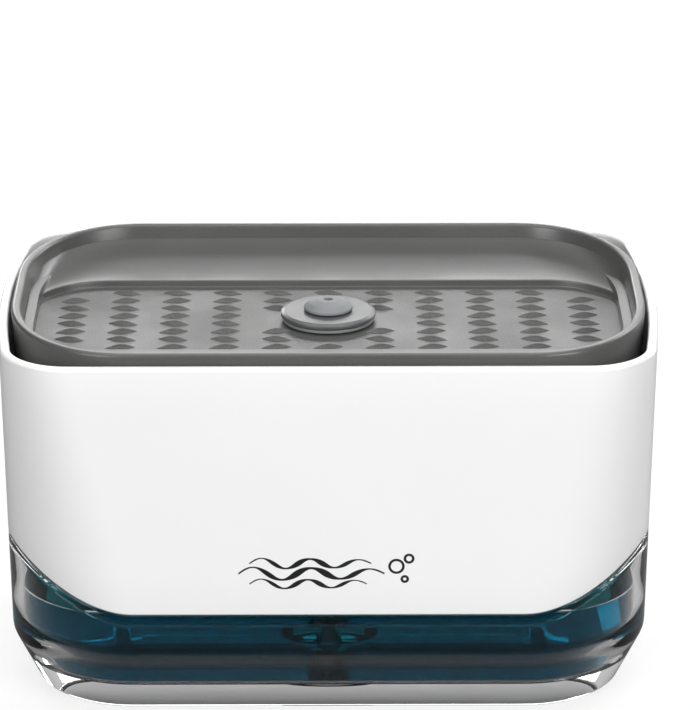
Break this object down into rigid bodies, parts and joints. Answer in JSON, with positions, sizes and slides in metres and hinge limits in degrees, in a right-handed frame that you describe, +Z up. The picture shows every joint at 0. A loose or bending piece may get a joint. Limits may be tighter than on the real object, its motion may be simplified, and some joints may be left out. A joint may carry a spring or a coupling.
{
  "type": "soap pump dispenser",
  "caption": "Countertop soap dispenser: a clear soap tank in a white sleeve, with a ridged sponge tray on top that is pressed down to pump soap up through its middle.",
  "frame": {"origin": "on the worktop, under the middle of the base", "axes": "+X to the right along the long side, front towards -Y, +Z up"},
  "size_m": [0.1448, 0.096, 0.0842],
  "materials": {
    "clear_plastic": "clear polished acrylic",
    "soap": "dark teal liquid",
    "white_gloss": "white glossy",
    "dark_grey_plastic": "dark grey satin",
    "hub_grey": "grey satin",
    "tray_grey": "grey satin with a fine grain",
    "pump_plastic": "white polypropylene",
    "milky_plastic": "natural milky polyethylene",
    "silicone": "soft grey silicone",
    "spring_steel": "bright drawn stainless"
  },
  "bodies": {
    "casing": {"tank": "clear_plastic", "liquid_soap": "soap", "outer_sleeve": "white_gloss"},
    "deck_unit": {"deck": "dark_grey_plastic", "deck_seal": "silicone", "closure_cap": "pump_plastic", "cylinder_gasket": "silicone", "pump_cylinder": "milky_plastic", "suction_tube": "milky_plastic", "stem_guide": "pump_plastic", "return_spring": "spring_steel"},
    "inlet_valve": {"inlet_ball": "spring_steel"},
    "plunger": {"piston_stem": "pump_plastic", "piston_seal": "milky_plastic", "stem_ring": "silicone"},
    "outlet_valve": {"outlet_ball": "spring_steel"},
    "tray_unit": {"sponge_tray": "tray_grey", "hub_gasket": "silicone", "nozzle_hub": "hub_grey", "outlet_nozzle": "silicone"}
  },
  "joints": [
    {"name": "deck_lift", "type": "slide", "parent": "casing", "child": "deck_unit", "axis": [0, 0, 1], "range_m": [0, 0.09]},
    {"name": "inlet_valve_lift", "type": "slide", "parent": "deck_unit", "child": "inlet_valve", "axis": [0, 0, 1], "range_m": [0, 0.0012]},
    {"name": "pump_press", "type": "slide", "parent": "deck_unit", "child": "plunger", "axis": [0, 0, -1], "range_m": [0, 0.009], "stiffness_N_per_m": 600, "springref_m": -0.01, "deforming": ["return_spring"]},
    {"name": "outlet_valve_lift", "type": "slide", "parent": "plunger", "child": "outlet_valve", "axis": [0, 0, 1], "range_m": [0, 0.0012]},
    {"name": "tray_lift", "type": "slide", "parent": "plunger", "child": "tray_unit", "axis": [0, 0, 1], "range_m": [0, 0.03]}
  ]
}
